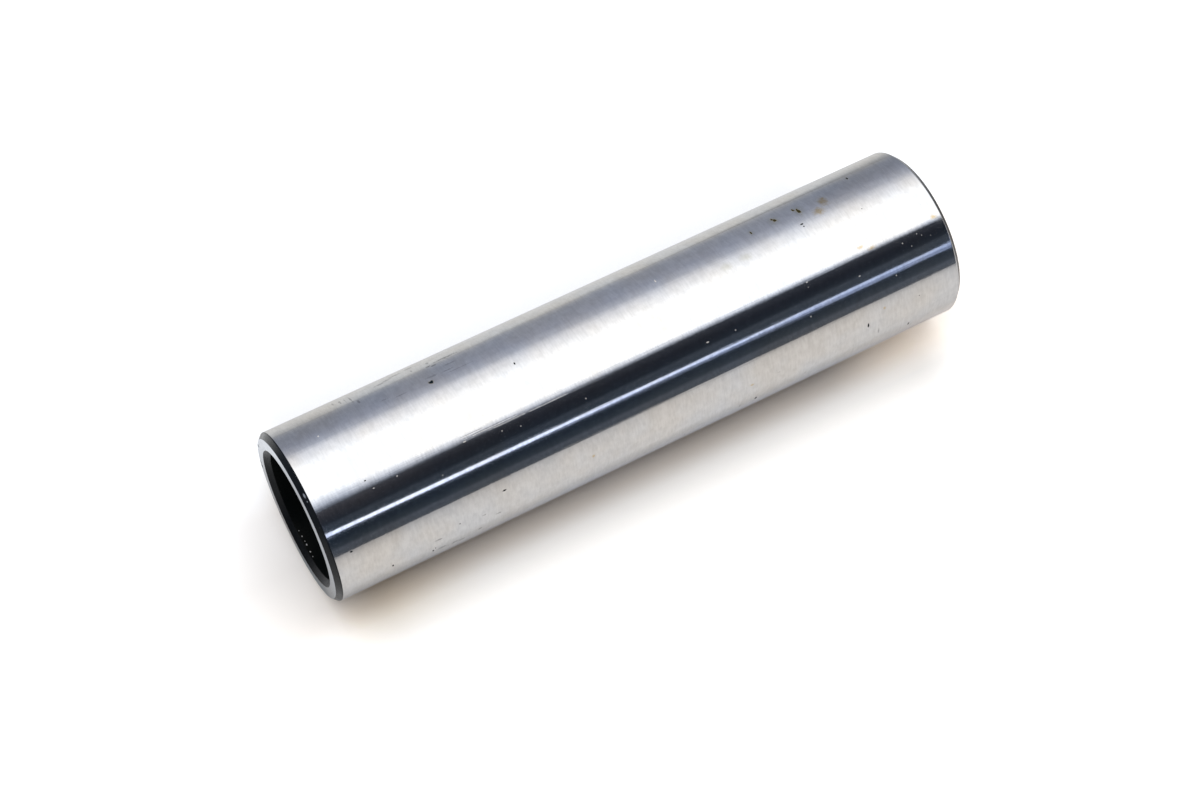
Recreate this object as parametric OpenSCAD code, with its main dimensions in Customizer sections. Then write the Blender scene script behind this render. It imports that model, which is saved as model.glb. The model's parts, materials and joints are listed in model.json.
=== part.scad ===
// Gudgeon pin: a hollow hardened steel pin, turned and ground in one piece.
// It stands on one end face, with its axis along +Z and the origin at the centre of that face.

/* [Pin] */
// Outside diameter, the ground running surface
pin_d = 20; // [14:0.5:32]
// Length over the two end faces
pin_l = 79; // [40:0.5:140]
// Wall between the running surface and the bore
wall = 2.5; // [1.6:0.1:5]

/* [Ends] */
// Outer chamfer at each end, at 45 degrees, which leads the pin into the piston boss
outer_chamfer = 0.55; // [0.2:0.05:0.8]
// Inner chamfer at each mouth of the bore, at 45 degrees
inner_chamfer = 0.6; // [0.2:0.05:0.7]

/* [Hidden] */
$fn = 180;

// Radii of the section, from the outside to the bore
pin_r = pin_d / 2;
face_outer_r = pin_r - outer_chamfer;
bore_r = pin_r - wall;
face_inner_r = bore_r + inner_chamfer;

// One end of the section as radius and depth from the end face, from the bore out
end_profile = [
    [bore_r, inner_chamfer],
    [face_inner_r, 0],
    [face_outer_r, 0],
    [pin_r, outer_chamfer]
];

// The same end turned over and set at the top, read back from the outside to the bore
top_profile = [for (i = [len(end_profile) - 1:-1:0]) [end_profile[i].x, pin_l - end_profile[i].y]];

// The whole pin is one revolved section: running surface, end rings, chamfers and through bore
module gudgeon_pin() {
    color([0.74, 0.75, 0.77])
        rotate_extrude()
            polygon(concat(end_profile, top_profile));
}

gudgeon_pin();
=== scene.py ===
import json
import math

import bpy
from mathutils import Matrix, Vector


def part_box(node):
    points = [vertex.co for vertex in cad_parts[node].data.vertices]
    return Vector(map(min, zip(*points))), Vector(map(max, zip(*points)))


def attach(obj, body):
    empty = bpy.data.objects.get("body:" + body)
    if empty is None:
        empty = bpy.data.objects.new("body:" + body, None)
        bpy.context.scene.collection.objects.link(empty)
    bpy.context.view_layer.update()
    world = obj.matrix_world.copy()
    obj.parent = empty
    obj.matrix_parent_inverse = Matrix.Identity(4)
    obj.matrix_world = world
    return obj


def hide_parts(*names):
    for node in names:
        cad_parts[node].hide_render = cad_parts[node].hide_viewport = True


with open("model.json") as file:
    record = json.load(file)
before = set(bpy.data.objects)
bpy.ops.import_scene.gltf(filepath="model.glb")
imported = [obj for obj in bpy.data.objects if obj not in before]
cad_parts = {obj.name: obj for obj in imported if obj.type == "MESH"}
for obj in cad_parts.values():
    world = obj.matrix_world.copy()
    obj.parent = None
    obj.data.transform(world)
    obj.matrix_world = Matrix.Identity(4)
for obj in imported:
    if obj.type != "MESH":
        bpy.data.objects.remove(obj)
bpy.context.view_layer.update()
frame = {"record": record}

MM = 0.001
PIN = "gudgeon_pin"
SKIN = "gudgeon_pin_skin"
record = frame["record"]
mounts = {mount["name"]: mount for mount in record["mounts"]}

# Sizes of the pin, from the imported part
pin_low, pin_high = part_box(PIN)
LENGTH = pin_high.z - pin_low.z
PIN_R = mounts["journal"]["dims"]["r_mm"] * MM
BORE_R = mounts["through_bore"]["dims"]["r_mm"] * MM
OUTER_CHAMFER = (LENGTH - mounts["journal"]["dims"]["length_mm"] * MM) / 2
INNER_CHAMFER = (LENGTH - mounts["through_bore"]["dims"]["length_mm"] * MM) / 2
FACE_OUTER_R = PIN_R - OUTER_CHAMFER
FACE_INNER_R = BORE_R + INNER_CHAMFER

# The pin lies on its side in the photograph: the floor touches it along its +Y side
FLOOR_NORMAL = Vector((0, -1, 0))

# The photograph's camera, in the part's frame, with its lens and sensor in millimetres
CAMERA_AT = Vector((-142.45, -248.15, 121.15)) * MM
CAMERA_TOWARDS = Vector((-2.63, 0, 43.0)) * MM
CAMERA_LENS = 80
CAMERA_SENSOR = 36
CAMERA_SEES_FROM = 0.01

# Rounding of the edges, and how finely the round form is cut
EDGE_ROUND = 0.06 * MM
LEAD_ROUND = 0.22 * MM
ROUND_STEPS = 6
SEGMENTS = 256
ROW_LENGTH = 1.0 * MM

BLACK = (0, 0, 0, 1)
WHITE = (1, 1, 1, 1)

# Further off than any mark, in half sizes of the mark
FAR_AWAY = 100.0


class Nodes:
    """Short ways to add shader nodes to one node tree and join them up."""

    def __init__(self, tree):
        self.tree = tree
        tree.nodes.clear()

    def add(self, kind, inputs=None, **settings):
        node = self.tree.nodes.new(kind)
        for name, value in settings.items():
            setattr(node, name, value)
        for key, value in (inputs or {}).items():
            self.put(node.inputs[key], value)
        return node

    def put(self, socket, value):
        if isinstance(value, bpy.types.NodeSocket):
            self.tree.links.new(value, socket)
        else:
            socket.default_value = value

    def math(self, operation, *values):
        node = self.add("ShaderNodeMath", operation=operation)
        for socket, value in zip(node.inputs, values):
            self.put(socket, value)
        return node.outputs[0]

    def times(self, *values):
        total = values[0]
        for value in values[1:]:
            total = self.math("MULTIPLY", total, value)
        return total

    def weighted(self, first, first_share, second, second_share):
        return self.math("ADD", self.times(first, first_share), self.times(second, second_share))

    def vector(self, operation, *values):
        inputs = dict(enumerate(values))
        return self.add("ShaderNodeVectorMath", inputs, operation=operation).outputs[0]

    def scaled(self, vector, scale):
        return self.vector("MULTIPLY", vector, scale)

    def noise(self, vector, detail=2.0):
        inputs = {"Vector": vector, "Scale": 1.0, "Detail": detail}
        return self.add("ShaderNodeTexNoise", inputs).outputs["Fac"]

    def span(self, value, low, high, to_low=0.0, to_high=1.0, smooth=False):
        """Stretches low to high over to_low to to_high, and holds still outside them."""
        kind = "SMOOTHSTEP" if smooth else "LINEAR"
        inputs = {"Value": value, 1: low, 2: high, 3: to_low, 4: to_high}
        return self.add("ShaderNodeMapRange", inputs, interpolation_type=kind).outputs[0]

    def mix(self, factor, first, second, blend="MIX"):
        node = self.add("ShaderNodeMix", data_type="RGBA", blend_type=blend)
        self.put(node.inputs[0], factor)
        self.put(node.inputs[6], first)
        self.put(node.inputs[7], second)
        return node.outputs[2]

    def nearest(self, place, spots):
        """Distance to the nearest of some spots, where 1 is a spot's edge."""
        nearest = FAR_AWAY
        for centre, half_along, half_round in spots:
            scale = Vector((1 / half_round, 1 / half_round, 1 / half_along))
            offset = self.vector("MULTIPLY_ADD", place, scale, centre * scale * -1)
            length = self.add("ShaderNodeVectorMath", {0: offset}, operation="LENGTH")
            nearest = self.math("MINIMUM", length.outputs["Value"], nearest)
        return nearest

    def grey(self, value):
        return self.add("ShaderNodeCombineXYZ", {"X": value, "Y": value, "Z": value}).outputs[0]

    def glow(self, colour, strength):
        return self.add("ShaderNodeEmission", {"Color": colour, "Strength": strength}).outputs[0]

    def added(self, *shaders):
        total = shaders[0]
        for shader in shaders[1:]:
            total = self.add("ShaderNodeAddShader", {0: total, 1: shader}).outputs[0]
        return total

    def ramp(self, value, stops):
        """Colours along a value from 0 to 1."""
        node = self.add("ShaderNodeValToRGB", {0: value})
        elements = node.color_ramp.elements
        while len(elements) < len(stops):
            elements.new(1.0)
        for element, (place, colour) in zip(elements, stops):
            element.position = place
            element.color = (*colour, 1.0)
        return node.outputs[0]

    def stops_ramp(self, value, stops):
        """Colours along a value in its own units."""
        first, last = stops[0][0], stops[-1][0]
        shares = [((place - first) / (last - first), colour) for place, colour in stops]
        return self.ramp(self.span(value, first, last), shares)

    def seen_in_picture(self):
        """1 for rays that show a surface or its mirror image, and 0 for rays that light other things."""
        path = self.add("ShaderNodeLightPath").outputs
        mirrored = self.math("MAXIMUM", path["Is Glossy Ray"], path["Is Transmission Ray"])
        return self.math("MAXIMUM", path["Is Camera Ray"], mirrored)


def new_material(name):
    material = bpy.data.materials.new(name)
    material.use_nodes = True
    return material, Nodes(material.node_tree)


def rounded_profile():
    """The pin's half section in order from the bore: places as radius and height, normals and zones."""
    corners = [
        ((BORE_R, INNER_CHAMFER), EDGE_ROUND, "mouth"),
        ((FACE_INNER_R, 0), EDGE_ROUND, "face"),
        ((FACE_OUTER_R, 0), EDGE_ROUND, "chamfer"),
        ((PIN_R, OUTER_CHAMFER), LEAD_ROUND, "ground"),
        ((PIN_R, LENGTH - OUTER_CHAMFER), LEAD_ROUND, "chamfer"),
        ((FACE_OUTER_R, LENGTH), EDGE_ROUND, "face"),
        ((FACE_INNER_R, LENGTH), EDGE_ROUND, "mouth"),
        ((BORE_R, LENGTH - INNER_CHAMFER), EDGE_ROUND, "bore"),
    ]
    points = []
    for index, (corner, radius, zone) in enumerate(corners):
        here = Vector(corner)
        before = (here - Vector(corners[index - 1][0])).normalized()
        after = (Vector(corners[(index + 1) % len(corners)][0]) - here).normalized()
        turn = before.angle_signed(after) * -1
        start = here - before * radius * math.tan(turn / 2)
        normal = Vector((before.y, -before.x))
        centre = start - normal * radius
        for step in range(ROUND_STEPS + 1):
            out = Matrix.Rotation(turn * step / ROUND_STEPS, 2) @ normal
            points.append((centre + out * radius, out, zone))
    return with_rows(points)


def with_rows(points):
    """Adds even rows along the long straight runs."""
    rows = []
    for index, (place, normal, zone) in enumerate(points):
        rows.append((place, normal, zone))
        following = points[(index + 1) % len(points)]
        run = following[0] - place
        count = int(run.length / ROW_LENGTH)
        for step in range(1, count):
            rows.append((place + run * step / count, following[1], zone))
    return rows


def build_pin(materials):
    """The pin's half section turned about its axis, as one closed mesh."""
    profile = rounded_profile()
    vertices = []
    normals = []
    for place, out, _ in profile:
        for segment in range(SEGMENTS):
            angle = 2 * math.pi * segment / SEGMENTS
            side = Vector((math.cos(angle), math.sin(angle), 0))
            vertices.append(side * place.x + Vector((0, 0, place.y)))
            normals.append(side * out.x + Vector((0, 0, out.y)))
    faces = []
    zones = []
    for row, (_, _, zone) in enumerate(profile):
        above = (row + 1) % len(profile)
        for segment in range(SEGMENTS):
            beside = (segment + 1) % SEGMENTS
            faces.append((
                row * SEGMENTS + segment,
                row * SEGMENTS + beside,
                above * SEGMENTS + beside,
                above * SEGMENTS + segment,
            ))
            zones.append(zone)
    mesh = bpy.data.meshes.new(SKIN)
    mesh.from_pydata(vertices, [], faces)
    names = list(materials)
    for name in names:
        mesh.materials.append(materials[name])
    for polygon, zone in zip(mesh.polygons, zones):
        polygon.material_index = names.index(zone)
        polygon.use_smooth = True
    mesh.normals_split_custom_set_from_vertices(normals)
    skin = bpy.data.objects.new(SKIN, mesh)
    bpy.context.scene.collection.objects.link(skin)
    return skin


# Marks on the running surface, each as its height up the pin in millimetres, its angle round the pin
# in degrees (as in the studio below), and its half length along the pin and half width round it in
# millimetres
MARKS = {
    "rust": [
        (17.40, 109.9, 0.28, 0.38), (17.54, 111.5, 0.25, 0.30), (14.4, 107.8, 0.24, 0.60),
        (14.85, 111.2, 0.22, 0.32), (20.6, 108.0, 0.12, 0.30),
    ],
    "halo": [
        (17.5, 109.8, 0.50, 0.70), (14.4, 108.0, 0.55, 0.85), (20.6, 108.0, 0.30, 0.40),
        (11.8, 108.6, 0.20, 0.30), (23.0, 91.5, 0.60, 0.40), (25.5, 91.0, 0.50, 0.40),
    ],
    "stain": [
        (12.55, 100.5, 0.52, 0.46), (11.35, 107.2, 0.40, 0.62), (11.1, 109.8, 0.15, 0.20),
        (10.8, 65.0, 0.30, 0.15), (9.6, 61.4, 0.40, 0.18), (1.4, 62.8, 0.30, 0.20),
        (27.8, 8.2, 0.20, 0.12), (47.8, 12.0, 0.14, 0.14), (10.35, 20.2, 0.14, 0.14),
    ],
    "pit": [
        (60.7, 105.8, 0.34, 0.36), (51.9, 91.7, 0.11, 0.16), (15.22, 96.5, 0.22, 0.13),
        (15.2, 94.2, 0.10, 0.10), (12.6, 12.0, 0.13, 0.32), (58.5, 18.6, 0.26, 0.16),
        (72.2, 63.6, 0.12, 0.10), (76.4, 26.5, 0.16, 0.12), (67.6, -8.2, 0.11, 0.28),
        (27.1, -10.5, 0.16, 0.30), (8.3, 88.0, 0.09, 0.09), (72.4, -2.5, 0.12, 0.28),
        (7.0, -8.0, 0.12, 0.34), (6.9, 119.3, 0.16, 0.42), (67.3, -6.0, 0.07, 0.14),
        (64.2, 8.3, 0.07, 0.12), (5.8, 17.0, 0.08, 0.08),
    ],
    "dust": [
        (31.6, 51.5, 0.16, 0.06), (28.1, 51.0, 0.07, 0.06), (18.4, 56.0, 0.06, 0.06),
        (18.3, 59.2, 0.16, 0.06), (12.3, 48.5, 0.10, 0.05), (4.1, 57.6, 0.06, 0.06),
        (3.6, 55.5, 0.05, 0.05), (19.3, 38.0, 0.08, 0.06), (8.1, 38.5, 0.06, 0.07),
        (71.7, 57.3, 0.12, 0.07), (68.9, 58.0, 0.10, 0.06), (56.6, 55.8, 0.06, 0.06),
        (54.5, 53.6, 0.06, 0.06), (46.7, 52.0, 0.06, 0.06), (64.4, 46.6, 0.07, 0.05),
        (74.25, 104.0, 0.10, 0.14), (33.2, 104.5, 0.08, 0.22), (60.8, 59.5, 0.20, 0.06),
        (2.6, 53.0, 0.05, 0.05), (5.2, 51.8, 0.05, 0.05), (6.1, 55.9, 0.06, 0.05),
    ],
    "scuff": [
        (57.75, 115.5, 0.85, 0.14), (60.1, 110.7, 0.80, 0.17), (58.45, 110.1, 0.85, 0.10),
        (57.5, 107.4, 2.10, 0.06), (66.0, 109.2, 0.50, 0.11), (64.3, 106.9, 0.90, 0.07),
        (24.35, 8.25, 0.25, 0.06),
    ],
    "score": [
        (65.2, 129.2, 0.95, 0.24), (64.2, 131.0, 0.80, 0.24), (63.3, 133.3, 0.80, 0.26),
        (61.4, 134.8, 0.60, 0.25), (70.7, 131.8, 0.10, 0.50), (69.95, 129.8, 0.13, 0.60),
        (69.4, 129.0, 0.07, 0.75), (68.85, 127.0, 0.11, 1.25), (68.4, 119.0, 0.16, 0.45),
        (59.75, 123.1, 0.42, 0.20), (59.2, 121.3, 0.42, 0.17), (57.6, 125.1, 1.45, 0.24),
        (59.55, 128.0, 0.22, 0.35), (61.5, 127.5, 0.14, 0.30), (66.8, 2.4, 0.55, 0.16),
        (66.55, -9.6, 0.50, 0.26), (64.9, -11.2, 0.50, 0.26), (64.1, -12.1, 0.45, 0.26),
        (61.85, -8.8, 0.30, 0.24), (61.35, 5.6, 0.32, 0.13), (59.6, 0.4, 0.36, 0.15),
        (36.15, -17.2, 0.09, 0.50), (29.15, -11.2, 0.08, 0.32), (20.75, -7.0, 0.07, 0.27),
        (11.2, 1.8, 0.10, 0.48),
    ],
    "scratch": [
        (57.4, 61.0, 3.20, 0.06), (55.6, 59.8, 2.40, 0.05), (51.0, 59.7, 2.60, 0.05),
        (59.6, 62.4, 1.40, 0.05),
    ],
}
RUST_COLOUR = (0.034, 0.030, 0.012, 1)
HALO_COLOUR = (0.36, 0.35, 0.25, 1)
STAIN_COLOUR = (0.47, 0.365, 0.205, 1)
PIT_COLOUR = (0.004, 0.009, 0.013, 1)
DUST_COLOUR = (0.55, 0.56, 0.58, 1)
SCUFF_COLOUR = (0.19, 0.19, 0.20, 1)

# How much of the steel a kind of mark hides, and the share of that which stays between its specks
HALO_COVER = 0.3
DUST_COVER = 0.65
STAIN_COVER, STAIN_THIN = 0.92, 0.7
SCUFF_COVER, SCUFF_THIN = 0.48, 0.5
SCORE_COVER, SCORE_THIN = 0.8, 0.5

# Where a mark ends and where it is full, in half sizes of the mark, and how far its edge wavers
SOFT_MARKS = ("halo", "stain")
SOFT_EDGE, SOFT_CORE = 1.9, 0.2
CRISP_EDGE, CRISP_CORE = 1.1, 0.5
RAGGED = 0.38

# Gloss and roughness of the marks that aren't metal
MARK_GLOSS, MARK_ROUGH = 0.1, 0.7

# How fine each pattern in the steel is, as cells to a metre across X, Y and Z
FINE_LINES = (900, 900, 4400)
BROAD_LINES = (70, 70, 1300)
WAVER = (400, 400, 900)
CLOUD = (160, 160, 160)
MOTTLE = (1300, 1300, 1300)
RUBS = (5000, 5000, 160)
GRAIN = (2600, 2600, 2600)
SPECKS = (6000, 6000, 6000)
MOTTLE_DETAIL = 4.0

# How the patterns add up to the steel's tone
FINE_SHARE, BROAD_SHARE = 0.65, 0.35
LINES_SHARE, MOTTLE_SHARE = 0.62, 0.38

# The part of a pattern's values that makes the difference from dark to light
TONE_RANGE = 0.40, 0.60
CLOUD_RANGE = 0.35, 0.65
GRAIN_RANGE = 0.25, 0.75
SPECK_RANGE = 0.40, 0.60
RUB_RANGE = 0.52, 0.72
GLOSS_RANGE = 0.3, 0.7

# The steel's two tints, each from the dark to the light of its pattern, and its tint at a glancing view
COOL_STEEL = (0.515, 0.528, 0.55, 1), (0.60, 0.612, 0.632, 1)
WARM_STEEL = (0.535, 0.523, 0.508, 1), (0.617, 0.605, 0.590, 1)
EDGE_TINT = (0.77, 0.77, 0.77, 1)

# Roughness from the dark to the light of the lines, and what the lead by each chamfer adds to it
GROUND_ROUGH = 0.09, 0.065
LEAD_LENGTH, LEAD_ROUGH = 1.3 * MM, 0.04

# How far the surface tilts from spot to spot, the share of that from the grinding lines, and its middle
GRIND_TILT = 0.010
TILT_LINES = 0.5
TILT_MIDDLE = (TILT_LINES + 1) / 2

# Relief in micrometres
MICROMETRE = 0.000001
WAVER_RELIEF = 1.2
SPECK_RELIEF = 1.0
SCRATCH_RELIEF = 4.0
RUB_RELIEF = 0.7


def on_pin(height, angle, radius=PIN_R):
    """A point on the pin from its height in millimetres and its angle in degrees."""
    turn = math.radians(angle)
    return Vector((-radius * math.cos(turn), -radius * math.sin(turn), height * MM))


def spots_of(marks, radius=PIN_R):
    """Each mark's centre and half sizes in metres."""
    spots = []
    for height, angle, along, across in marks:
        spots.append((on_pin(height, angle, radius), along * MM, across * MM))
    return spots


def placed_marks(n, place, grain):
    """How full each kind of mark is, from 0 to 1, with ragged edges."""
    ragged = n.span(grain, *GRAIN_RANGE, -RAGGED, RAGGED)
    mark = {}
    for kind, marks in MARKS.items():
        distance = n.math("ADD", n.nearest(place, spots_of(marks)), ragged)
        edge, core = (SOFT_EDGE, SOFT_CORE) if kind in SOFT_MARKS else (CRISP_EDGE, CRISP_CORE)
        mark[kind] = n.span(distance, edge, core, smooth=True)
    return mark


def marked_colour(n, colour, mark, specks):
    """The steel's colour with its marks laid over it, one kind after the other."""
    def speckled(kind, cover, thin):
        return n.times(mark[kind], n.span(specks, *SPECK_RANGE, thin * cover, cover))

    scuffs = speckled("scuff", SCUFF_COVER, SCUFF_THIN)
    scores = speckled("score", SCORE_COVER, SCORE_THIN)
    layers = [
        (n.times(mark["halo"], HALO_COVER), HALO_COLOUR),
        (speckled("stain", STAIN_COVER, STAIN_THIN), STAIN_COLOUR),
        (mark["rust"], RUST_COLOUR),
        (mark["pit"], PIT_COLOUR),
        (n.math("MAXIMUM", scuffs, scores), SCUFF_COLOUR),
        (n.times(mark["dust"], DUST_COVER), DUST_COLOUR),
    ]
    for share, mark_colour in layers:
        colour = n.mix(share, colour, mark_colour)
    return colour


def ground_roughness(n, place, lines, covered):
    """The steel is rougher by the lead of each end, and roughest on marks that aren't metal."""
    height = n.add("ShaderNodeSeparateXYZ", {0: place}).outputs["Z"]
    from_middle = n.math("ABSOLUTE", n.math("SUBTRACT", height, LENGTH / 2))
    lead_to = LENGTH / 2 - OUTER_CHAMFER
    lead = n.span(from_middle, lead_to - LEAD_LENGTH, lead_to, 0.0, LEAD_ROUGH)
    bare = n.math("ADD", n.span(lines, *GLOSS_RANGE, *GROUND_ROUGH), lead)
    return n.math("MAXIMUM", bare, n.times(covered, MARK_ROUGH))


def ground_steel():
    """Fine-ground steel: grinding lines round the pin, and rust, stains, pits, dust and scuffs on it."""
    material, n = new_material("ground_steel")
    place = n.add("ShaderNodeTexCoord").outputs["Object"]
    normal = n.add("ShaderNodeNewGeometry").outputs["Normal"]

    # Grinding lines, long round the pin and narrow along it, with a faint mottle
    fine = n.noise(n.scaled(place, FINE_LINES))
    broad = n.noise(n.scaled(place, BROAD_LINES))
    cloud = n.noise(n.scaled(place, CLOUD))
    mottle = n.noise(n.scaled(place, MOTTLE), detail=MOTTLE_DETAIL)
    lines = n.weighted(fine, FINE_SHARE, broad, BROAD_SHARE)
    tone = n.span(n.weighted(lines, LINES_SHARE, mottle, MOTTLE_SHARE), *TONE_RANGE)
    colour = n.mix(n.span(cloud, *CLOUD_RANGE), n.mix(tone, *COOL_STEEL), n.mix(tone, *WARM_STEEL))

    # The lines and the specks tilt the surface a little from spot to spot
    specks = n.noise(n.scaled(place, SPECKS))
    round_pin = n.vector("CROSS_PRODUCT", (0, 0, 1), normal)
    uneven = n.math("MULTIPLY_ADD", fine, TILT_LINES, specks)
    swing = n.times(n.math("SUBTRACT", uneven, TILT_MIDDLE), GRIND_TILT)
    leaning = n.vector("MULTIPLY_ADD", round_pin, n.grey(swing), normal)

    # Listed marks, of which rust, pits and dust aren't metal
    mark = placed_marks(n, place, n.noise(n.scaled(place, GRAIN)))
    covered = n.math("MAXIMUM", mark["rust"], n.math("MAXIMUM", mark["pit"], mark["dust"]))

    # Relief: a slow waver and specks stand up, and scratches and rubs lie in the surface
    waver = n.noise(n.scaled(place, WAVER))
    rubs = n.span(n.noise(n.scaled(place, RUBS)), *RUB_RANGE, 0.0, RUB_RELIEF)
    hollow = n.times(mark["scratch"], SCRATCH_RELIEF)
    rise = n.math("MULTIPLY_ADD", specks, SPECK_RELIEF, n.times(waver, WAVER_RELIEF))
    relief = n.math("SUBTRACT", rise, n.math("ADD", hollow, rubs))
    bump = n.add("ShaderNodeBump", {
        "Strength": 1.0, "Distance": MICROMETRE, "Height": relief, "Normal": leaning,
    })
    steel = n.add("ShaderNodeBsdfPrincipled", {
        "Base Color": marked_colour(n, colour, mark, specks),
        "Metallic": n.math("SUBTRACT", 1.0, covered),
        "Roughness": ground_roughness(n, place, lines, covered),
        "Normal": bump.outputs[0],
        "Specular Tint": EDGE_TINT,
        "Specular IOR Level": MARK_GLOSS,
    })
    n.add("ShaderNodeOutputMaterial", {"Surface": steel.outputs[0]})
    return material


# Dark nicks on the flat ring of the near end, each as its angle round the pin and its half width
FACE_NICKS = [(164.5, 0.24), (187.5, 0.24), (191.5, 0.38), (220.5, 0.17), (232.0, 0.26)]
FACE_NICK_R = 9.25 * MM
FACE_NICK_DEPTH = 0.2
NICK_COLOUR = (0.04, 0.045, 0.05, 1)

# The faced steel's pattern, in cells to a metre, and its tints and roughness from dark to light
FACE_RINGS = 9000
RING_WANDER = (150, 150, 0)
FACE_CLOUD = (600, 600, 0)
FACE_CLOUD_DETAIL = 3.0
FACE_RING_SHARE, FACE_CLOUD_SHARE = 0.6, 0.4
FACE_STEEL = (0.40, 0.425, 0.465, 1), (0.52, 0.545, 0.585, 1)
FACE_ROUGH = 0.17, 0.11


def end_face_steel():
    """Faced steel, with fine turning rings round the axis and a few nicks by its outer edge."""
    material, n = new_material("end_face_steel")
    place = n.add("ShaderNodeTexCoord").outputs["Object"]
    flat = n.scaled(place, (1, 1, 0))
    radius = n.add("ShaderNodeVectorMath", {0: flat}, operation="LENGTH").outputs["Value"]
    across = n.add("ShaderNodeCombineXYZ", {"X": n.times(radius, FACE_RINGS)}).outputs[0]
    rings = n.noise(n.vector("ADD", across, n.scaled(place, RING_WANDER)))
    cloud = n.noise(n.scaled(place, FACE_CLOUD), detail=FACE_CLOUD_DETAIL)
    tone = n.weighted(rings, FACE_RING_SHARE, cloud, FACE_CLOUD_SHARE)

    marks = [(LENGTH / MM, angle, FACE_NICK_DEPTH, half_width) for angle, half_width in FACE_NICKS]
    off_nick = n.nearest(place, spots_of(marks, FACE_NICK_R))
    nicks = n.span(off_nick, CRISP_EDGE, CRISP_CORE, smooth=True)
    colour = n.mix(nicks, n.mix(n.span(tone, *GLOSS_RANGE), *FACE_STEEL), NICK_COLOUR)
    rough = n.math("MAXIMUM", n.span(tone, *GLOSS_RANGE, *FACE_ROUGH), n.times(nicks, MARK_ROUGH))
    bump = n.add("ShaderNodeBump", {"Strength": 1.0, "Distance": MICROMETRE, "Height": rings})
    steel = n.add("ShaderNodeBsdfPrincipled", {
        "Base Color": colour,
        "Metallic": n.math("SUBTRACT", 1.0, nicks),
        "Roughness": rough,
        "Normal": bump.outputs[0],
        "Specular Tint": EDGE_TINT,
        "Specular IOR Level": MARK_GLOSS,
    })
    n.add("ShaderNodeOutputMaterial", {"Surface": steel.outputs[0]})
    return material


# Places where the black skin is worn to bare steel, on the outer chamfer and inside the bore's mouth,
# written as the marks above are. Their pale colours are painted highlights
# for the glints of light that these nicks catch
CHAMFER_NICK_GLINTS = [(78.62, 71.2, 0.11, 0.40), (78.60, 66.8, 0.07, 0.12)]
CHAMFER_GLINT_R = 9.78 * MM
BORE_NICK_GLINTS = [
    (78.18, -110.0, 0.06, 0.07), (78.15, -104.5, 0.09, 0.11), (78.12, -99.5, 0.06, 0.08),
    (78.13, -96.0, 0.10, 0.16), (78.16, -88.5, 0.08, 0.13), (78.20, -83.0, 0.06, 0.07),
]
WORN_CHAMFER_GLINT = (0.24, 0.28, 0.35, 1)
WORN_BORE_GLINT = (0.60, 0.63, 0.68, 1)
NICK_GLINT_RAGGED = 0.4

# The black skin's pattern and relief, and its colours, gloss and roughness on the chamfers
OXIDE_GRAIN = (1500, 1500, 1500)
OXIDE_CLOUD = (350, 350, 350)
OXIDE_GRAIN_DETAIL = 4.0
OXIDE_RELIEF = 4 * MICROMETRE
OUTER_SKIN = (0.004, 0.006, 0.009, 1), (0.010, 0.012, 0.016, 1)
OUTER_GLOSS, OUTER_ROUGH = 0.15, (0.3, 0.2)
INNER_SKIN = (0.003, 0.004, 0.006, 1), (0.007, 0.009, 0.011, 1)
INNER_GLOSS, INNER_ROUGH = 0.10, (0.32, 0.22)


def worn_glint_places(n, place, grain, nicks, radius):
    """1 on the worn nicks whose pale colour is a painted highlight, with ragged edges."""
    ragged = n.span(grain, *GRAIN_RANGE, -NICK_GLINT_RAGGED, NICK_GLINT_RAGGED)
    off_nick = n.math("ADD", n.nearest(place, spots_of(nicks, radius)), ragged)
    return n.span(off_nick, CRISP_EDGE, CRISP_CORE, smooth=True)


def chamfer_oxide(name, colours, gloss, rough, nicks=()):
    """The black skin left by heat treatment where the grinding wheel didn't reach."""
    material, n = new_material(name)
    place = n.add("ShaderNodeTexCoord").outputs["Object"]
    grain = n.noise(n.scaled(place, OXIDE_GRAIN), detail=OXIDE_GRAIN_DETAIL)
    cloud = n.noise(n.scaled(place, OXIDE_CLOUD))
    skin = n.mix(n.span(cloud, *CLOUD_RANGE), *colours)
    # Worn nicks, whose pale bluish colour is a painted highlight
    if nicks:
        skin = n.mix(worn_glint_places(n, place, grain, nicks, CHAMFER_GLINT_R), skin, WORN_CHAMFER_GLINT)
    bump = n.add("ShaderNodeBump", {"Strength": 1.0, "Distance": OXIDE_RELIEF, "Height": grain})
    oxide = n.add("ShaderNodeBsdfPrincipled", {
        "Base Color": skin,
        "Roughness": n.span(grain, *GLOSS_RANGE, *rough),
        "Normal": bump.outputs[0],
        "Specular IOR Level": gloss,
    })
    n.add("ShaderNodeOutputMaterial", {"Surface": oxide.outputs[0]})
    return material


# The bore's skin, black by its mouths and greyer further in, with faint rings from drilling
MOUTH_SKIN = (0.001, 0.002, 0.002, 1), (0.004, 0.005, 0.005, 1)
DEEP_SKIN = (0.016, 0.017, 0.018, 1), (0.045, 0.046, 0.048, 1)
DEEP_FROM, DEEP_TO = 2.6 * MM, 9 * MM
BORE_RINGS = (120, 120, 2600)
BORE_RING_DETAIL = 3.0
BORE_TONE_RANGE = 0.75, 1.25
BORE_GLOSS, BORE_ROUGH = 0.1, (0.5, 0.35)


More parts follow.
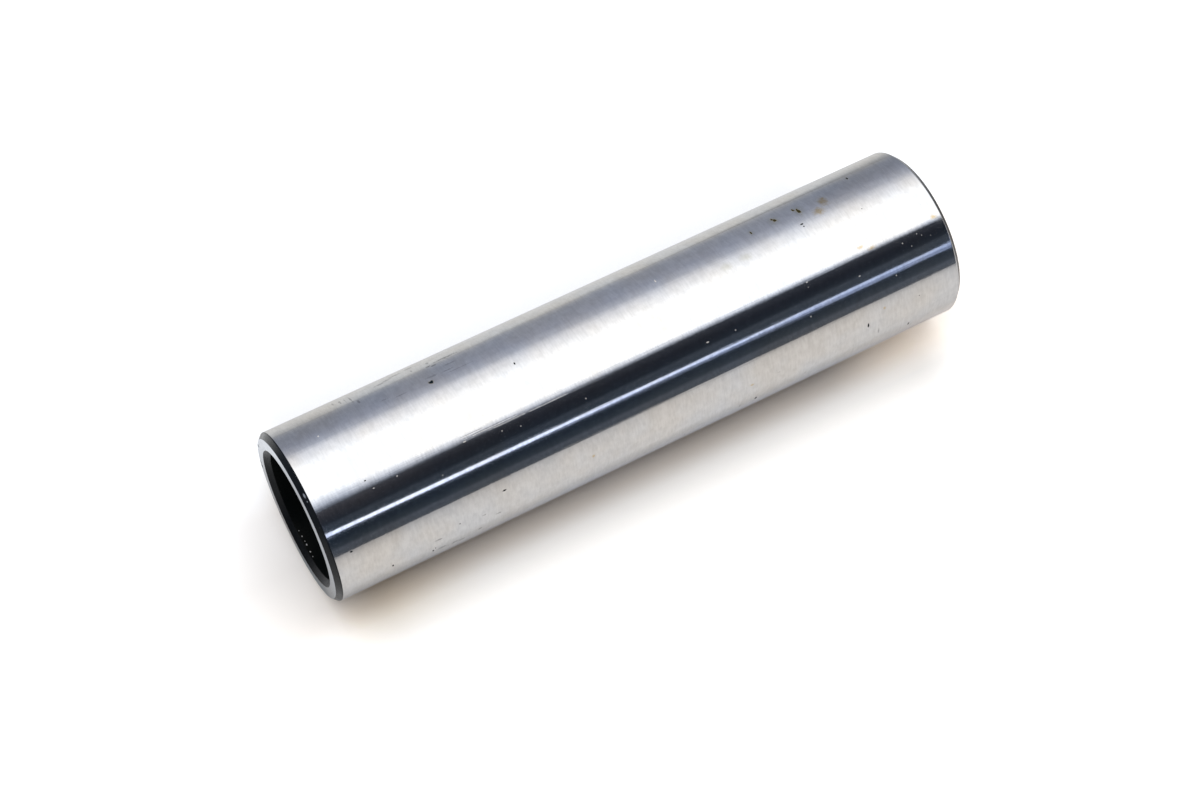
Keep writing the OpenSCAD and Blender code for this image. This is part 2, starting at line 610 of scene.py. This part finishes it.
def bore_oxide():
    """The skin inside the bore, with a few worn spots by the near mouth whose pale colour is a painted
    highlight.
    """
    material, n = new_material("bore_oxide")
    place = n.add("ShaderNodeTexCoord").outputs["Object"]
    height = n.add("ShaderNodeSeparateXYZ", {0: place}).outputs["Z"]
    from_middle = n.math("ABSOLUTE", n.math("SUBTRACT", height, LENGTH / 2))
    depth = n.math("SUBTRACT", LENGTH / 2, from_middle)
    rings = n.noise(n.scaled(place, BORE_RINGS), detail=BORE_RING_DETAIL)
    cloud = n.noise(n.scaled(place, OXIDE_CLOUD))
    tone = n.span(n.math("ADD", rings, cloud), *BORE_TONE_RANGE)
    deep = n.span(depth, DEEP_FROM, DEEP_TO, smooth=True)
    skin = n.mix(deep, n.mix(tone, *MOUTH_SKIN), n.mix(tone, *DEEP_SKIN))
    # Worn spots, whose pale colour is a painted highlight for the glints they catch
    skin = n.mix(worn_glint_places(n, place, cloud, BORE_NICK_GLINTS, BORE_R), skin, WORN_BORE_GLINT)
    bump = n.add("ShaderNodeBump", {"Strength": 1.0, "Distance": OXIDE_RELIEF, "Height": rings})
    oxide = n.add("ShaderNodeBsdfPrincipled", {
        "Base Color": skin,
        "Roughness": n.span(tone, 0, 1, *BORE_ROUGH),
        "Normal": bump.outputs[0],
        "Specular IOR Level": BORE_GLOSS,
    })
    n.add("ShaderNodeOutputMaterial", {"Surface": oxide.outputs[0]})
    return material


# The studio that the steel mirrors, as angle round the pin and light. The angle is 0 along the floor
# on the photographer's side, 90 straight up from the floor, and 180 along the floor behind the pin.
FRONT_ROOM = [
    (-30, (0.10, 0.11, 0.13)),
    (-4, (0.095, 0.108, 0.13)),
    (3, (0.105, 0.12, 0.15)),
    (6, (0.048, 0.062, 0.08)),
    (16, (0.022, 0.033, 0.050)),
    (29, (0.045, 0.06, 0.082)),
    (36, (0.06, 0.075, 0.10)),
    (39, (0.022, 0.030, 0.044)),
    (49, (0.024, 0.028, 0.039)),
    (57, (0.045, 0.05, 0.065)),
]
BACK_WALL = [
    (80, (1.90, 1.90, 1.90)),
    (110, (1.90, 1.90, 1.90)),
    (122, (1.48, 1.48, 1.50)),
    (131, (1.18, 1.19, 1.25)),
    (141, (0.64, 0.67, 0.77)),
    (152, (0.45, 0.48, 0.58)),
    (166, (0.395, 0.425, 0.51)),
    (176, (0.42, 0.45, 0.53)),
    (181, (0.49, 0.515, 0.58)),
    (186, (0.60, 0.615, 0.66)),
    (192, (0.70, 0.71, 0.74)),
]

# The near and the far end of the room, as heights on the dome
ROOM_NEAR, ROOM_FAR = -0.13, -0.40

# Extra light in the front of the room, towards the far end and towards the near end
FAR_HAZE, FAR_HAZE_FROM, FAR_HAZE_ANGLES = 0.016, 0.4, (44, 36)
NEAR_HAZE, NEAR_HAZE_TO, NEAR_HAZE_ANGLES = (0.036, 0.031, 0.030, 1), 0.18, (36, 55)

# Where the wall takes over from the overhead light. It is dimmer at both ends, and the light above it
# reaches further down at the near end and less far down at the far end.
WALL_ANGLES = 79, 81
WALL_NEAR_DIM, WALL_NEAR_DIM_HEIGHTS = 0.13, (-0.195, -0.13)
WALL_FAR_DIM, WALL_FAR_DIM_HEIGHTS = 0.17, (-0.366, -0.398)
WALL_DIM_ANGLES = 140, 158
WALL_NEAR_LEAN, WALL_NEAR_LEAN_TO = -2.2, 0.42
WALL_FAR_LEAN, WALL_FAR_LEAN_FROM = 2.8, 0.72
WALL_LEAN_ANGLES = 146, 132

# The front edge of the overhead light from dark to full, the angles where it starts and is full at the
# near and the far end, the power by which it sharpens between them, and the share that blends in
LIGHT_EDGE = [
    (0.0, (0.045, 0.05, 0.065)),
    (0.2, (0.33, 0.36, 0.43)),
    (0.45, (0.85, 0.90, 1.02)),
    (0.8, (1.50, 1.54, 1.62)),
    (1.0, (1.90, 1.90, 1.90)),
]
LIGHT_LOW_NEAR, LIGHT_LOW_FAR = 55.6, 58.7
LIGHT_HIGH_NEAR, LIGHT_HIGH_FAR = 74.8, 65.4
LIGHT_SHARPENS = 0.36
LIGHT_START = 0.05

# The strip light's upper and lower edge at the near end, where they turn, and at the far end
STRIP_TOP_NEAR, STRIP_TOP_MIDDLE, STRIP_TOP_FAR, STRIP_TOP_TURN = 27.65, 26.4, 26.85, 0.75
STRIP_LOW_NEAR, STRIP_LOW_MIDDLE, STRIP_LOW_FAR, STRIP_LOW_TURN = 23.65, 23.15, 23.55, 0.15
# How soft its edges are, and the depth over which its lower light turns into its upper light
STRIP_BLUR, STRIP_DEPTH = 0.45, 2.2
# A dimmer wing under it, which grows towards the far end
WING_LOW_NEAR, WING_LOW_FAR = 21.6, 19.6
WING_SHARE_NEAR, WING_SHARE_FAR, WING_GROWTH = 0.0, 0.46, 2.0
# Its lower and its upper light at the near and the far end, and the power by which it falls
STRIP_NEAR_LIGHT = (1.63, 1.88, 2.72, 1), (1.84, 1.98, 2.34, 1)
STRIP_FAR_LIGHT = (0.73, 0.89, 1.36, 1), (0.77, 0.90, 1.24, 1)
STRIP_FALL = 1.5

# The end of the room above the near end of the pin
CAP_LIGHT, CAP_HEIGHT = (0.22, 0.25, 0.30, 1), (0.4, 0.75)

# The dome itself, and the range of the angle round it
DOME_RADIUS = 1.0
DOME_SEGMENTS, DOME_RINGS = 48, 24
ANGLE_LOW, ANGLE_HIGH = -90, 270


def front_room(n, angle, far):
    """The dark room in front, with a little haze towards both ends."""
    room = n.stops_ramp(angle, FRONT_ROOM)
    far_haze = n.times(n.span(far, FAR_HAZE_FROM, 1, 0, FAR_HAZE), n.span(angle, *FAR_HAZE_ANGLES))
    near_haze = n.times(n.span(far, NEAR_HAZE_TO, 0), n.span(angle, *NEAR_HAZE_ANGLES))
    room = n.mix(1.0, room, n.grey(far_haze), "ADD")
    return n.mix(near_haze, room, NEAR_HAZE, "ADD")


def overhead_edge(n, angle, far, room):
    """The soft light's front edge, which sharpens towards the far end."""
    sharper = n.math("POWER", far, LIGHT_SHARPENS)
    low = n.span(sharper, 0, 1, LIGHT_LOW_NEAR, LIGHT_LOW_FAR)
    high = n.span(sharper, 0, 1, LIGHT_HIGH_NEAR, LIGHT_HIGH_FAR)
    share = n.math("DIVIDE", n.math("SUBTRACT", angle, low), n.math("SUBTRACT", high, low))
    return n.mix(n.span(share, 0, LIGHT_START), room, n.ramp(share, LIGHT_EDGE))


def back_wall(n, angle, far, height):
    """The soft light's back edge and the grey wall behind."""
    near_lean = n.span(far, 0, WALL_NEAR_LEAN_TO, WALL_NEAR_LEAN, 0)
    far_lean = n.span(far, WALL_FAR_LEAN_FROM, 1, 0, WALL_FAR_LEAN)
    lean = n.times(n.math("ADD", near_lean, far_lean), n.span(angle, *WALL_LEAN_ANGLES))
    wall = n.stops_ramp(n.math("ADD", angle, lean), BACK_WALL)
    near_dim = n.span(height, *WALL_NEAR_DIM_HEIGHTS, 0, WALL_NEAR_DIM)
    far_dim = n.span(height, *WALL_FAR_DIM_HEIGHTS, 0, WALL_FAR_DIM)
    dim = n.times(n.math("ADD", near_dim, far_dim), n.span(angle, *WALL_DIM_ANGLES))
    return n.mix(dim, wall, BLACK)


def strip_light(n, angle, far, room):
    """The strip light low in front, which dims and turns bluer towards the far end and its lower edge."""
    top = n.span(far, 0, STRIP_TOP_TURN, STRIP_TOP_NEAR, STRIP_TOP_MIDDLE)
    top = n.math("MAXIMUM", top, n.span(far, STRIP_TOP_TURN, 1, STRIP_TOP_MIDDLE, STRIP_TOP_FAR))
    low = n.span(far, 0, STRIP_LOW_TURN, STRIP_LOW_NEAR, STRIP_LOW_MIDDLE)
    low = n.math("MAXIMUM", low, n.span(far, STRIP_LOW_TURN, 1, STRIP_LOW_MIDDLE, STRIP_LOW_FAR))
    wing_low = n.span(far, 0, 1, WING_LOW_NEAR, WING_LOW_FAR)
    over_low = n.math("SUBTRACT", angle, low)
    below_top = n.span(n.math("SUBTRACT", top, angle), -STRIP_BLUR, STRIP_BLUR, smooth=True)
    strip = n.span(over_low, -STRIP_BLUR, STRIP_BLUR, smooth=True)
    wing = n.span(n.math("SUBTRACT", angle, wing_low), -STRIP_BLUR, STRIP_BLUR, smooth=True)
    wing_share = n.span(n.math("POWER", far, WING_GROWTH), 0, 1, WING_SHARE_NEAR, WING_SHARE_FAR)
    strip = n.times(n.math("MAXIMUM", strip, n.times(wing, wing_share)), below_top)
    fall = n.math("POWER", far, STRIP_FALL)
    lower = n.mix(fall, STRIP_NEAR_LIGHT[0], STRIP_FAR_LIGHT[0])
    upper = n.mix(fall, STRIP_NEAR_LIGHT[1], STRIP_FAR_LIGHT[1])
    return n.mix(strip, room, n.mix(n.span(over_low, 0, STRIP_DEPTH), lower, upper))


def studio_light():
    """A dome that only mirror images show: light overhead, a grey wall behind, a dark room in front."""
    material, n = new_material("studio")
    place = n.add("ShaderNodeTexCoord").outputs["Object"]
    part = n.add("ShaderNodeSeparateXYZ", {0: place}).outputs
    up = n.times(part["Y"], -1)
    forward = n.times(part["X"], -1)
    angle = n.math("WRAP", n.math("DEGREES", n.math("ARCTAN2", up, forward)), ANGLE_HIGH, ANGLE_LOW)
    far = n.span(part["Z"], ROOM_NEAR, ROOM_FAR)
    room = overhead_edge(n, angle, far, front_room(n, angle, far))
    room = n.mix(n.span(angle, *WALL_ANGLES), room, back_wall(n, angle, far, part["Z"]))
    room = strip_light(n, angle, far, room)
    room = n.mix(n.span(part["Z"], *CAP_HEIGHT, smooth=True), room, CAP_LIGHT)
    n.add("ShaderNodeOutputMaterial", {"Surface": n.glow(room, 1.0)})
    material.cycles.emission_sampling = "NONE"
    bpy.ops.mesh.primitive_uv_sphere_add(
        segments=DOME_SEGMENTS, ring_count=DOME_RINGS, radius=DOME_RADIUS,
    )
    dome = bpy.context.object
    dome.name = "studio_dome"
    dome.location = (0, 0, LENGTH / 2)
    dome.data.materials.append(material)
    for visible in ("camera", "diffuse", "transmission", "volume_scatter", "shadow"):
        setattr(dome, "visible_" + visible, False)


# The floor's front edge runs at a slant
FLOOR_FRONT, FLOOR_SLANT, FLOOR_BACK, FLOOR_HALF = 0.150, 0.25, 0.16, 0.3

# Colours of the floor from its front edge to its back edge, along X, with painted shade: darker just
# behind the pin and towards both edges
FLOOR_SHADE_TINTS = [
    (-0.13, (0.68, 0.69, 0.71)),
    (-0.025, (0.93, 0.93, 0.93)),
    (-0.01, (0.93, 0.93, 0.93)),
    (0.01, (0.72, 0.74, 0.78)),
    (0.02, (0.78, 0.80, 0.84)),
    (0.029, (0.95, 0.98, 1.0)),
    (0.06, (0.95, 0.98, 1.0)),
    (0.16, (0.72, 0.76, 0.82)),
]

# Painted shade for the camera: the floor's colour is darker and warmer in the contact shadow and in the
# near end's shadow
CONTACT_SHADE_TINT = (0.90, 0.86, 0.82, 1)
CONTACT_BESIDE = 0.5 * MM, -2.0 * MM
NEAR_SHADE_TINT = (1.0, 0.95, 0.87, 1)
NEAR_TINT_HEIGHTS = 62 * MM, 72 * MM
NEAR_TINT_BESIDE = 4 * MM, 0
NEAR_TINT_PAST = 0.5 * MM, -2.0 * MM

# Painted light for the camera: the floor glows to white away from the pin and past its ends, the more
# so behind the near end, which lightens its shadow there
WHITE_COLOUR, WHITE_GLOW = (0.87, 1.0, 1.14, 1), 0.30
WHITE_AWAY = -1.5 * MM, 14 * MM
END_COLOUR, END_GLOW = (1.0, 1.02, 1.06, 1), 0.25
END_PAST = -6 * MM, 2 * MM
NEAR_END_BACK, NEAR_END_GAIN = 8 * MM, 1.6

# Painted light for the camera: a warm glow lightens the shadow by the far end
FAR_WARM_COLOUR, FAR_WARM_GLOW = (1.0, 0.84, 0.67, 1), 0.27
FAR_WARM_PAST = -17 * MM, -2 * MM
FAR_WARM_BESIDE = 1.5 * MM, -1.5 * MM

# Light that the floor adds in mirror images along the pin, by X, up to the near end
SIDE_PAST = -1 * MM, 0.0
MIRROR_NEAR_DIM, MIRROR_NEAR_HEIGHTS = 0.55, (45 * MM, 70 * MM)
MIRROR_SIDE = [
    (-0.03, (0.027, 0.0315, 0.042)),
    (-0.016, (0.018, 0.022, 0.032)),
    (-0.0125, (0.010, 0.014, 0.024)),
    (-0.011, (0.030, 0.036, 0.050)),
    (-0.0095, (0.09, 0.105, 0.14)),
    (-0.004, (0.09, 0.105, 0.14)),
    (0.015, (0.0, 0.01, 0.02)),
    (0.032, (0.11, 0.125, 0.145)),
    (0.052, (0.06, 0.08, 0.105)),
    (0.08, (0.05, 0.075, 0.105)),
    (0.16, (0.01, 0.02, 0.03)),
]

# A warm light under the far end, in mirror images
FAR_RIM_COLOUR, FAR_RIM_GLOW = (1.0, 0.75, 0.5, 1), 0.14
FAR_RIM_HEIGHTS = 14 * MM, 3 * MM
FAR_RIM_BESIDE = 3 * MM, 0.5 * MM

# Light that the floor adds in mirror images past the near end, by X
MIRROR_END_PAST = 0.6 * MM, 2.4 * MM
MIRROR_END = [
    (-0.004, (0.25, 0.28, 0.31)),
    (0.003, (0.25, 0.28, 0.31)),
    (0.0083, (0.19, 0.21, 0.235)),
    (0.0115, (0.29, 0.32, 0.35)),
    (0.013, (0.34, 0.37, 0.40)),
    (0.0145, (0.58, 0.62, 0.66)),
]

# Painted shade in mirror images: the floor's colour is darker right under the near end, and in its
# corners
UNDER_END_SHADE_TINT = (0.70, 0.75, 0.79, 1)
UNDER_END_PAST, UNDER_END_X = (0.95 * MM, 0.5 * MM), (4 * MM, 1 * MM)
CORNER_SHADE_TINT = (0.77, 0.77, 0.78, 1)
FRONT_CORNER_X, FRONT_CORNER_Z = (-0.03, -0.095), (0.02, 0.06)
BACK_CORNER_X, BACK_CORNER_Z = (0.045, 0.085), (0.047, 0.072)
FAR_CORNER_SHADE_TINT = (0.66, 0.66, 0.67, 1)
FAR_CORNER_X, FAR_CORNER_PAST = (0.02, 0.04), (8 * MM, 30 * MM)


def floor_places(n):
    """Where a point of the floor lies from the pin, and which rays see it."""
    point = n.add("ShaderNodeTexCoord").outputs["Object"]
    place = n.add("ShaderNodeSeparateXYZ", {0: point}).outputs
    path = n.add("ShaderNodeLightPath").outputs
    return {
        "x": place["X"],
        "z": place["Z"],
        "beside": n.math("SUBTRACT", n.math("ABSOLUTE", place["X"]), PIN_R),
        "past_near": n.math("SUBTRACT", place["Z"], LENGTH),
        "past_far": n.times(place["Z"], -1),
        "camera": path["Is Camera Ray"],
        "mirror": path["Is Glossy Ray"],
    }


def floor_colour_with_painted_shade(n, at):
    """The floor's colour with painted shade: warmer, darker shadows for the camera, darker corners in
    mirror images.
    """
    contact = n.span(at["beside"], *CONTACT_BESIDE)
    near = n.times(
        n.span(at["z"], *NEAR_TINT_HEIGHTS),
        n.span(at["beside"], *NEAR_TINT_BESIDE),
        n.span(at["past_near"], *NEAR_TINT_PAST),
    )
    front_corner = n.times(n.span(at["x"], *FRONT_CORNER_X), n.span(at["z"], *FRONT_CORNER_Z))
    back_corner = n.times(n.span(at["x"], *BACK_CORNER_X), n.span(at["z"], *BACK_CORNER_Z))
    far_corner = n.times(n.span(at["x"], *FAR_CORNER_X), n.span(at["past_far"], *FAR_CORNER_PAST))
    under_end = n.times(
        n.span(at["past_near"], *UNDER_END_PAST),
        n.span(at["x"], *UNDER_END_X),
        n.math("GREATER_THAN", at["past_near"], 0),
    )
    shades = [
        ("camera", contact, CONTACT_SHADE_TINT),
        ("camera", near, NEAR_SHADE_TINT),
        ("mirror", n.math("MAXIMUM", front_corner, back_corner), CORNER_SHADE_TINT),
        ("mirror", far_corner, FAR_CORNER_SHADE_TINT),
        ("mirror", under_end, UNDER_END_SHADE_TINT),
    ]
    # Painted shade: the floor's colour darkens just behind the pin and towards both edges
    colour = n.stops_ramp(at["x"], FLOOR_SHADE_TINTS)
    for rays, share, tint in shades:
        colour = n.mix(n.times(at[rays], share), colour, tint, "MULTIPLY")
    return colour


def floor_camera_glow(n, at):
    """The painted light that the floor adds for the camera, which lightens its shadow."""
    away = n.math("MAXIMUM", at["beside"], n.math("MAXIMUM", at["past_near"], at["past_far"]))
    white = n.span(away, *WHITE_AWAY, 0, WHITE_GLOW)
    near_end = n.span(at["past_near"], *END_PAST, 0, END_GLOW, smooth=True)
    near_end = n.times(near_end, n.span(at["x"], 0, NEAR_END_BACK, 1, NEAR_END_GAIN))
    far_end = n.span(at["past_far"], *END_PAST, 0, END_GLOW, smooth=True)
    far_warm = n.span(at["past_far"], *FAR_WARM_PAST, 0, FAR_WARM_GLOW, smooth=True)
    far_warm = n.times(far_warm, n.span(at["beside"], *FAR_WARM_BESIDE))
    return n.added(
        n.glow(WHITE_COLOUR, n.times(at["camera"], white)),
        n.glow(END_COLOUR, n.times(at["camera"], n.math("ADD", near_end, far_end))),
        n.glow(FAR_WARM_COLOUR, n.times(at["camera"], far_warm)),
    )


def floor_mirror_glow(n, at):
    """The painted light that the floor adds in mirror images."""
    side = n.times(
        n.span(at["past_near"], *SIDE_PAST, 1, 0),
        at["mirror"],
        n.span(at["z"], *MIRROR_NEAR_HEIGHTS, 1, MIRROR_NEAR_DIM),
    )
    far_rim = n.times(
        n.span(at["z"], *FAR_RIM_HEIGHTS),
        n.span(at["beside"], *FAR_RIM_BESIDE),
        n.times(at["mirror"], FAR_RIM_GLOW),
    )
    end = n.times(n.span(at["past_near"], *MIRROR_END_PAST), at["mirror"])
    return n.added(
        n.glow(n.stops_ramp(at["x"], MIRROR_SIDE), side),
        n.glow(FAR_RIM_COLOUR, far_rim),
        n.glow(n.stops_ramp(at["x"], MIRROR_END), end),
    )


def floor_material():
    """Pale matt paper, seen from above only, with painted shade in its colour and painted light for
    camera and mirror rays.
    """
    material, n = new_material("floor")
    at = floor_places(n)
    matt = n.add("ShaderNodeBsdfDiffuse", {"Color": floor_colour_with_painted_shade(n, at)}).outputs[0]
    # Painted light: the camera and mirror glows are added to the matt paper
    paper = n.added(matt, floor_camera_glow(n, at), floor_mirror_glow(n, at))
    clear = n.add("ShaderNodeBsdfTransparent").outputs[0]
    behind = n.add("ShaderNodeNewGeometry").outputs["Backfacing"]
    sheet = n.add("ShaderNodeMixShader", {0: behind, 1: paper, 2: clear})
    n.add("ShaderNodeOutputMaterial", {"Surface": sheet.outputs[0]})
    material.cycles.emission_sampling = "NONE"
    return material


def floor():
    """The pale floor that the pin lies on."""
    slant = FLOOR_SLANT * FLOOR_HALF
    corners = [
        (-FLOOR_FRONT - slant, PIN_R, -FLOOR_HALF),
        (FLOOR_BACK, PIN_R, -FLOOR_HALF),
        (FLOOR_BACK, PIN_R, FLOOR_HALF),
        (-FLOOR_FRONT + slant, PIN_R, FLOOR_HALF),
    ]
    mesh = bpy.data.meshes.new("floor")
    mesh.from_pydata(corners, [], [(0, 1, 2, 3)])
    mesh.materials.append(floor_material())
    plane = bpy.data.objects.new("floor", mesh)
    bpy.context.scene.collection.objects.link(plane)


# Light on what is matt: dim warm light from all round, and one soft lamp overhead
AMBIENT = (0.278, 0.230, 0.178, 1)
LAMP_ANGLE = 85
LAMP_DISTANCE = 0.32
LAMP_SIZE = (0.27, 0.43)
LAMP_POWER = 1.15


def ambient_light():
    """Dim warm light from all round, which is white for the camera and in mirror images."""
    world = bpy.data.worlds.new("room")
    bpy.context.scene.world = world
    world.use_nodes = True
    n = Nodes(world.node_tree)
    fill = n.add("ShaderNodeBackground", {"Color": AMBIENT, "Strength": 1.0}).outputs[0]
    white = n.add("ShaderNodeBackground", {"Color": WHITE, "Strength": 1.0}).outputs[0]
    both = n.add("ShaderNodeMixShader", {0: n.seen_in_picture(), 1: fill, 2: white})
    n.add("ShaderNodeOutputWorld", {"Surface": both.outputs[0]})


def overhead_lamp():
    """The soft lamp that casts the pin's shadow. The steel mirrors the dome instead of it."""
    lamp = bpy.data.lights.new("overhead", "AREA")
    lamp.shape = "RECTANGLE"
    lamp.size, lamp.size_y = LAMP_SIZE
    lamp.energy = LAMP_POWER
    overhead = bpy.data.objects.new("overhead", lamp)
    turn = math.radians(LAMP_ANGLE)
    out = Vector((-math.cos(turn), -math.sin(turn), 0))
    overhead.location = out * LAMP_DISTANCE + Vector((0, 0, LENGTH / 2))
    overhead.rotation_euler = out.to_track_quat("Z", "Y").to_euler()
    overhead.visible_glossy = False
    overhead.visible_camera = False
    bpy.context.scene.collection.objects.link(overhead)


def photo_camera():
    """The photograph's camera, held level over the floor."""
    data = bpy.data.cameras.new("photo_camera")
    data.lens = CAMERA_LENS
    data.sensor_width = CAMERA_SENSOR
    data.clip_start = CAMERA_SEES_FROM
    camera = bpy.data.objects.new("photo_camera", data)
    back = (CAMERA_AT - CAMERA_TOWARDS).normalized()
    right = FLOOR_NORMAL.cross(back).normalized()
    up = back.cross(right)
    turn = Matrix((right, up, back)).transposed().to_4x4()
    camera.matrix_world = Matrix.Translation(CAMERA_AT) @ turn
    bpy.context.scene.collection.objects.link(camera)
    bpy.context.scene.camera = camera


bpy.context.scene.view_settings.view_transform = "Standard"
photo_camera()
ambient_light()
overhead_lamp()
studio_light()
floor()
pin = build_pin({
    "ground": ground_steel(),
    "chamfer": chamfer_oxide("chamfer_oxide", OUTER_SKIN, OUTER_GLOSS, OUTER_ROUGH, CHAMFER_NICK_GLINTS),
    "mouth": chamfer_oxide("mouth_oxide", INNER_SKIN, INNER_GLOSS, INNER_ROUGH),
    "face": end_face_steel(),
    "bore": bore_oxide(),
})
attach(pin, "root")
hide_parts(PIN)
